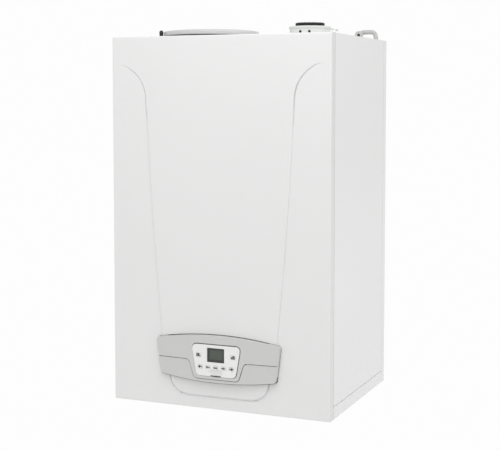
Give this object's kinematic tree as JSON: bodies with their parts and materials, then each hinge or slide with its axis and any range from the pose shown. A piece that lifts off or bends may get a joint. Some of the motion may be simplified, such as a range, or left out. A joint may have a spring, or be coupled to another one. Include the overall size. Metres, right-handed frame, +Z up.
{
  "type": "gas boiler",
  "caption": "Wall-hung condensing gas boiler: tall sheet-metal case, curved control fascia low on the front, flue collar and vessel top above, tank, burner, fan, pump and pipes inside.",
  "frame": {"origin": "centre of the back plate's wall face", "axes": "+Y into the wall, +Z up along the tall side, the front faces -Y"},
  "size_m": [0.6, 0.4836, 0.9913],
  "materials": {
    "case": "satin white enamel",
    "fascia": "satin light grey",
    "plate": "satin white",
    "key": "soft white",
    "black_plastic": "fine grain",
    "screen": "smooth dark green-grey",
    "board": "coated board",
    "zinc": "zinc plated",
    "alloy": "sand cast",
    "copper": "drawn copper tube",
    "brass": "machined",
    "seal": "matt",
    "insulation": "foam jacket",
    "vessel": "grey stove enamel",
    "collar": "pale grey",
    "tap": "blue"
  },
  "bodies": {
    "case": {"back_plate": "case", "left_side_panel": "case", "right_side_panel": "case", "top_panel": "case", "base_tray": "case", "left_hanger": "zinc", "right_hanger": "zinc", "hinge_frame": "zinc", "storage_tank": "insulation", "tank_frame": "zinc", "vessel_shelf": "zinc", "expansion_vessel": "vessel", "charging_valve_cap": "black_plastic", "flue_pipe": "alloy", "flue_collar": "collar", "flue_seal": "seal", "heat_exchanger": "alloy", "burner_door": "alloy", "ignition_electrode": "collar", "air_vent": "brass", "fan_housing": "alloy", "fan_motor": "black_plastic", "gas_air_mixer": "black_plastic", "air_silencer": "black_plastic", "gas_valve": "alloy", "gas_pipe": "zinc", "mixer_gas_pipe": "zinc", "flow_pipe": "copper", "return_pipe": "copper", "heating_return_pipe": "copper", "tank_flow_pipe": "copper", "tank_return_pipe": "copper", "hot_water_pipe": "copper", "cold_water_pipe": "copper", "pump_body": "black_plastic", "pump_motor": "alloy", "three_way_valve": "brass", "valve_actuator": "black_plastic", "condensate_trap": "plate", "safety_valve": "brass", "pressure_gauge": "black_plastic", "filling_tap": "brass"},
    "front": {"front_panel": "case"},
    "control": {"control_housing": "black_plastic", "fascia_upper": "fascia", "fascia_lower": "fascia", "control_plate": "plate", "display_frame": "black_plastic", "display_glass": "screen", "circuit_board": "board"},
    "upper_left_key": {"key_upper_left": "key"},
    "upper_right_key": {"key_upper_right": "key"},
    "lower_key_1": {"key_lower_1": "key"},
    "lower_key_2": {"key_lower_2": "key"},
    "lower_key_3": {"key_lower_3": "key"},
    "lower_key_4": {"key_lower_4": "key"},
    "lower_key_5": {"key_lower_5": "key"},
    "impeller": {"fan_impeller": "alloy"},
    "safety_knob": {"safety_valve_knob": "seal"},
    "tap_lever": {"filling_tap_lever": "tap"}
  },
  "joints": [
    {"name": "front_panel_off", "type": "slide", "parent": "case", "child": "front", "axis": [0, -1, 0], "range_m": [0, 0.35]},
    {"name": "control_swing", "type": "hinge", "parent": "case", "child": "control", "pos_m": [0, -0.454, -0.388], "axis": [1, 0, 0], "range_deg": [0, 80]},
    {"name": "key_upper_left_press", "type": "slide", "parent": "control", "child": "upper_left_key", "axis": [0, 1, 0], "range_m": [0, 0.0012], "stiffness_N_per_m": 1200},
    {"name": "key_upper_right_press", "type": "slide", "parent": "control", "child": "upper_right_key", "axis": [0, 1, 0], "range_m": [0, 0.0012], "stiffness_N_per_m": 1200},
    {"name": "key_lower_1_press", "type": "slide", "parent": "control", "child": "lower_key_1", "axis": [0, 1, 0], "range_m": [0, 0.0012], "stiffness_N_per_m": 1200},
    {"name": "key_lower_2_press", "type": "slide", "parent": "control", "child": "lower_key_2", "axis": [0, 1, 0], "range_m": [0, 0.0012], "stiffness_N_per_m": 1200},
    {"name": "key_lower_3_press", "type": "slide", "parent": "control", "child": "lower_key_3", "axis": [0, 1, 0], "range_m": [0, 0.0012], "stiffness_N_per_m": 1200},
    {"name": "key_lower_4_press", "type": "slide", "parent": "control", "child": "lower_key_4", "axis": [0, 1, 0], "range_m": [0, 0.0012], "stiffness_N_per_m": 1200},
    {"name": "key_lower_5_press", "type": "slide", "parent": "control", "child": "lower_key_5", "axis": [0, 1, 0], "range_m": [0, 0.0012], "stiffness_N_per_m": 1200},
    {"name": "impeller_spin", "type": "hinge", "parent": "case", "child": "impeller", "pos_m": [0.195, -0.372, 0.005], "axis": [0, -1, 0], "continuous": true},
    {"name": "safety_knob_turn", "type": "hinge", "parent": "case", "child": "safety_knob", "pos_m": [-0.2, -0.185, -0.395], "axis": [0, -1, 0], "range_deg": [0, 90]},
    {"name": "tap_lever_turn", "type": "hinge", "parent": "case", "child": "tap_lever", "pos_m": [0.19, -0.15, -0.387], "axis": [0, 0, 1], "range_deg": [0, 90]}
  ],
  "couplings": [
    {"joint": "control_swing", "follows": "front_panel_off", "rad_per_m": 3.98}
  ]
}
